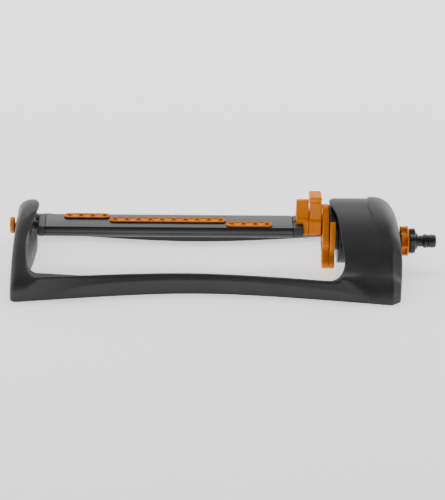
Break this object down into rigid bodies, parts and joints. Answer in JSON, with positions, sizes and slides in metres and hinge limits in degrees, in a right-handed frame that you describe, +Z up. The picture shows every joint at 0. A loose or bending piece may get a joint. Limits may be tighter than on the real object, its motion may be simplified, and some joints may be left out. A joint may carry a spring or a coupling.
{
  "type": "oscillating sprinkler",
  "caption": "Lawn sprinkler with an hourglass frame, a flat spray tube that swings between an end arch and a gear hood, range levers, width knob and hose inlet.",
  "frame": {"origin": "on the ground below the middle of the whole sprinkler", "axes": "+X along the spray tube towards the hose inlet, +Z up"},
  "size_m": [0.511, 0.2078, 0.0965],
  "materials": {
    "frame_plastic": "fine moulded grain, dark grey",
    "black_plastic": "satin black",
    "gear_plastic": "natural acetal",
    "steel": "stainless",
    "tube_metal": "dark grey satin anodised",
    "cap_plastic": "satin dark grey",
    "orange_plastic": "semi-gloss orange",
    "soft_orange": "soft-touch orange",
    "seal_rubber": "black nitrile"
  },
  "bodies": {
    "base": {"base_frame": "frame_plastic", "gear_hood": "frame_plastic", "hood_floor": "frame_plastic", "floor_screw_1": "steel", "floor_screw_2": "steel", "floor_screw_3": "steel", "floor_screw_4": "steel", "motor_case": "black_plastic", "journal_bush": "gear_plastic", "motor_cover": "black_plastic", "case_screw_1": "steel", "case_screw_2": "steel", "case_screw_3": "steel", "case_screw_4": "steel", "idler_pin": "steel", "gear_plate": "black_plastic", "jet_plate": "black_plastic", "pivot_bush": "gear_plastic", "inlet_pipe": "black_plastic", "inlet_nipple": "black_plastic", "nipple_o_ring": "seal_rubber", "filter_screen": "steel"},
    "tube": {"spray_tube": "tube_metal", "nozzle_strip_rear": "soft_orange", "nozzle_strip_middle": "soft_orange", "nozzle_strip_front": "soft_orange", "left_end_cap": "cap_plastic", "right_end_cap": "cap_plastic", "cleanout_plug": "orange_plastic", "tube_journal": "black_plastic", "output_gear": "gear_plastic", "valve_block": "orange_plastic"},
    "knob": {"width_knob": "orange_plastic"},
    "front_lever": {"front_range_lever": "orange_plastic"},
    "rear_lever": {"rear_range_lever": "orange_plastic"},
    "collar": {"flow_collar": "orange_plastic", "flow_valve": "gear_plastic"},
    "idler": {"idler_gear": "gear_plastic"},
    "turbine": {"turbine_pinion": "gear_plastic", "turbine_shaft": "steel", "turbine_wheel": "gear_plastic"}
  },
  "joints": [
    {"name": "tube_swing", "type": "hinge", "parent": "base", "child": "tube", "pos_m": [0, 0, 0.0536], "axis": [1, 0, 0], "range_deg": [-50, 50]},
    {"name": "width_turn", "type": "hinge", "parent": "tube", "child": "knob", "pos_m": [0.1086, 0, 0.0536], "axis": [1, 0, 0], "range_deg": [-25, 25]},
    {"name": "front_lever_turn", "type": "hinge", "parent": "base", "child": "front_lever", "pos_m": [0.1222, 0, 0.0536], "axis": [1, 0, 0], "range_deg": [-45, 10]},
    {"name": "rear_lever_turn", "type": "hinge", "parent": "base", "child": "rear_lever", "pos_m": [0.1304, 0, 0.0536], "axis": [1, 0, 0], "range_deg": [-10, 65]},
    {"name": "flow_turn", "type": "hinge", "parent": "base", "child": "collar", "pos_m": [0.217, 0, 0.036], "axis": [1, 0, 0], "range_deg": [-45, 45]},
    {"name": "idler_turn", "type": "hinge", "parent": "base", "child": "idler", "pos_m": [0.148, -0.01763, 0.03962], "axis": [1, 0, 0], "range_deg": [-205, 205]},
    {"name": "turbine_turn", "type": "hinge", "parent": "base", "child": "turbine", "pos_m": [0.166, 0, 0.036], "axis": [1, 0, 0], "range_deg": [-610, 610]}
  ],
  "couplings": [
    {"joint": "idler_turn", "follows": "tube_swing", "ratio": -4},
    {"joint": "turbine_turn", "follows": "tube_swing", "ratio": 12}
  ]
}
